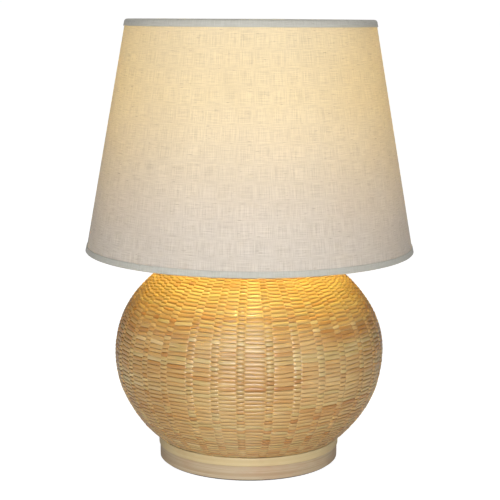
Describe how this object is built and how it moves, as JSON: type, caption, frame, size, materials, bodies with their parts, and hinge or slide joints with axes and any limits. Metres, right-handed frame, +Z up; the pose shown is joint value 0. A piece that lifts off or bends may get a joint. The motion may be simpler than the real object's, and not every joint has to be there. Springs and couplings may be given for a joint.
{
  "type": "table lamp with shade",
  "caption": "Table lamp with a tapered linen shade on a round woven bamboo body and a low bent bamboo foot; the shade turns and lifts off, the bulb comes out.",
  "frame": {"origin": "centre of the underside, on the table", "axes": "+Z up along the lamp's axis, -Y to the front, +X to the right with the switch knob"},
  "size_m": [0.35, 0.35, 0.47],
  "materials": {
    "felt": "matt felt",
    "bamboo_band": "satin bent bamboo",
    "bamboo_hoop": "satin bent bamboo",
    "bamboo_inner": "raw bamboo",
    "plywood": "raw plywood",
    "zinc_steel": "zinc plated",
    "cast_iron": "rough cast",
    "grommet_rubber": "soft black",
    "woven_bamboo": "lacquered split bamboo",
    "stake_bamboo": "lacquered split bamboo",
    "neck_wood": "lacquered wood",
    "brass": "satin brass",
    "holder_black": "moulded black",
    "ceramic_core": "white steatite",
    "contact_brass": "bright strip",
    "switch_plastic": "moulded ivory",
    "seat_fibre": "dark fibre",
    "wire_white": "white painted wire",
    "liner_white": "white backing sheet",
    "linen": "natural linen",
    "hem_linen": "folded linen tape",
    "bulb_metal": "bright screw cap",
    "bulb_black": "black glass bead",
    "bulb_white": "white housing",
    "bulb_opal": "opal, lit",
    "led_white": "white board",
    "led_yellow": "yellow phosphor"
  },
  "bodies": {
    "base": {"felt_cover": "felt", "foot_band": "bamboo_band", "foot_hoop": "bamboo_hoop", "inner_hoop": "bamboo_inner", "base_board": "plywood", "base_screws": "zinc_steel", "weight_plate": "cast_iron", "cable_grommet": "grommet_rubber", "woven_body": "woven_bamboo", "body_stakes": "stake_bamboo", "neck_hoop": "bamboo_hoop", "neck_disc": "neck_wood", "cap_washer": "brass", "threaded_tube": "zinc_steel", "lower_nut": "zinc_steel", "lower_washer": "zinc_steel", "upper_nut": "zinc_steel", "upper_washer": "zinc_steel", "riser_sleeve": "brass", "holder_cap": "holder_black", "holder_skirt": "holder_black", "holder_insert": "ceramic_core", "screw_shell": "contact_brass", "centre_contact": "contact_brass", "side_contact": "contact_brass", "terminal_screws": "zinc_steel", "switch_body": "switch_plastic", "switch_bracket": "zinc_steel"},
    "switch": {"switch_shaft": "brass", "switch_knob": "holder_black"},
    "seat": {"seat_washer": "seat_fibre"},
    "shade": {"fitter_ring": "wire_white", "fitter_arms": "wire_white", "bottom_ring": "wire_white", "top_ring": "wire_white", "shade_liner": "liner_white", "shade_fabric": "linen", "top_hem": "hem_linen", "bottom_hem": "hem_linen"},
    "ring": {"shade_ring": "holder_black"},
    "bulb": {"bulb_contact": "contact_brass", "bulb_insulator": "bulb_black", "bulb_cap": "bulb_metal", "bulb_housing": "bulb_white", "bulb_globe": "bulb_opal", "led_board": "led_white", "led_chips": "led_yellow"}
  },
  "joints": [
    {"name": "switch_turn", "type": "hinge", "parent": "base", "child": "switch", "pos_m": [0.022, 0, 0.276], "axis": [1, 0, 0], "continuous": true},
    {"name": "shade_lift", "type": "slide", "parent": "base", "child": "seat", "axis": [0, 0, 1], "range_m": [0, 0.2]},
    {"name": "shade_turn", "type": "hinge", "parent": "seat", "child": "shade", "pos_m": [0, 0, 0.295], "axis": [0, 0, 1], "continuous": true},
    {"name": "ring_turn", "type": "hinge", "parent": "seat", "child": "ring", "pos_m": [0, 0, 0.3], "axis": [0, 0, 1], "continuous": true},
    {"name": "bulb_lift", "type": "slide", "parent": "base", "child": "bulb", "axis": [0, 0, 1], "range_m": [0, 0.18]}
  ]
}
